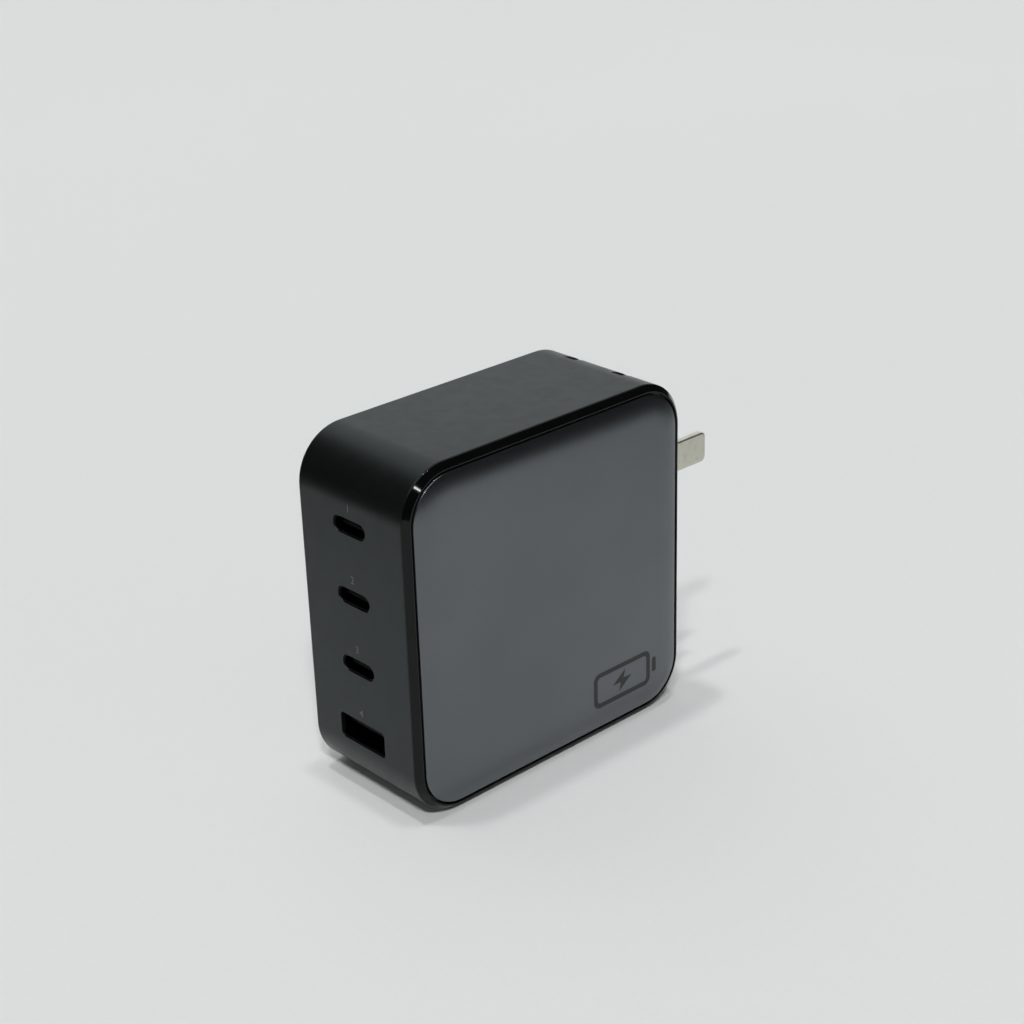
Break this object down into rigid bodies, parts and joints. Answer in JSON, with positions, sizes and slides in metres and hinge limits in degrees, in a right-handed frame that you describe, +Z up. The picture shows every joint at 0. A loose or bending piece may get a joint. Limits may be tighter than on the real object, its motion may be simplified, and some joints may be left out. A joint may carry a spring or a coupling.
{
  "type": "wall charger",
  "caption": "Compact square wall charger: output sockets in a row on one side, a crowned front panel, and a plug whose flat blades fold up into the opposite side.",
  "frame": {"origin": "middle of the flat base, on the middle plane of the shell's depth", "axes": "+X from the socket side to the plug side, -Y the way the front panel faces, +Z up"},
  "size_m": [0.0855, 0.0309, 0.069],
  "materials": {
    "housing_plastic": "fine satin texture",
    "frame_plastic": "polished black",
    "panel_plastic": "satin metallic paint",
    "inner_plastic": "as moulded",
    "blade_metal": "satin nickel plate",
    "spring_metal": "bare strip",
    "board": "solder mask",
    "socket_metal": "drawn sheet",
    "socket_insulator": "as moulded",
    "ferrite": "sintered",
    "coil_tape": "wrapped tape",
    "copper_wire": "enamelled",
    "can_sleeve": "plastic sleeve",
    "chip": "moulded",
    "fuse_body": "moulded",
    "film_box": "moulded",
    "gap_pad": "soft",
    "spreader_metal": "rolled sheet",
    "film": "sheet"
  },
  "bodies": {
    "housing": {"boost_inductor_bobbin": "inner_plastic", "boost_inductor_coil": "coil_tape", "boost_inductor_core": "ferrite", "boost_switch": "chip", "bridge_rectifier": "chip", "contact_spring_front": "spring_metal", "contact_spring_rear": "spring_metal", "filter_capacitor": "film_box", "front_frame": "frame_plastic", "front_panel": "panel_plastic", "fuse": "fuse_body", "heat_spreader": "spreader_metal", "insulating_film": "film", "line_choke_core": "ferrite", "line_choke_winding_1": "copper_wire", "line_choke_winding_2": "copper_wire", "main_board": "board", "main_switch": "chip", "mains_capacitor_1": "can_sleeve", "mains_capacitor_2": "can_sleeve", "mains_capacitor_3": "can_sleeve", "mains_controller": "chip", "output_capacitor_1": "can_sleeve", "output_capacitor_2": "can_sleeve", "output_capacitor_3": "can_sleeve", "output_controller": "chip", "output_inductor_1": "ferrite", "output_inductor_2": "ferrite", "output_inductor_3": "ferrite", "oval_socket_1_core": "socket_insulator", "oval_socket_1_shell": "socket_metal", "oval_socket_2_core": "socket_insulator", "oval_socket_2_shell": "socket_metal", "oval_socket_3_core": "socket_insulator", "oval_socket_3_shell": "socket_metal", "plug_cradle": "inner_plastic", "port_board": "board", "shell": "housing_plastic", "thermal_pad": "gap_pad", "transformer_bobbin": "inner_plastic", "transformer_coil": "coil_tape", "transformer_core": "ferrite", "wide_socket_core": "socket_insulator", "wide_socket_shell": "socket_metal"},
    "plug": {"plug_rotor": "inner_plastic", "blade_front": "blade_metal", "blade_rear": "blade_metal"}
  },
  "joints": [
    {"name": "plug_fold", "type": "hinge", "parent": "housing", "child": "plug", "pos_m": [0.0304, 0, 0.0468], "axis": [0, -1, 0], "range_deg": [0, 90]}
  ]
}
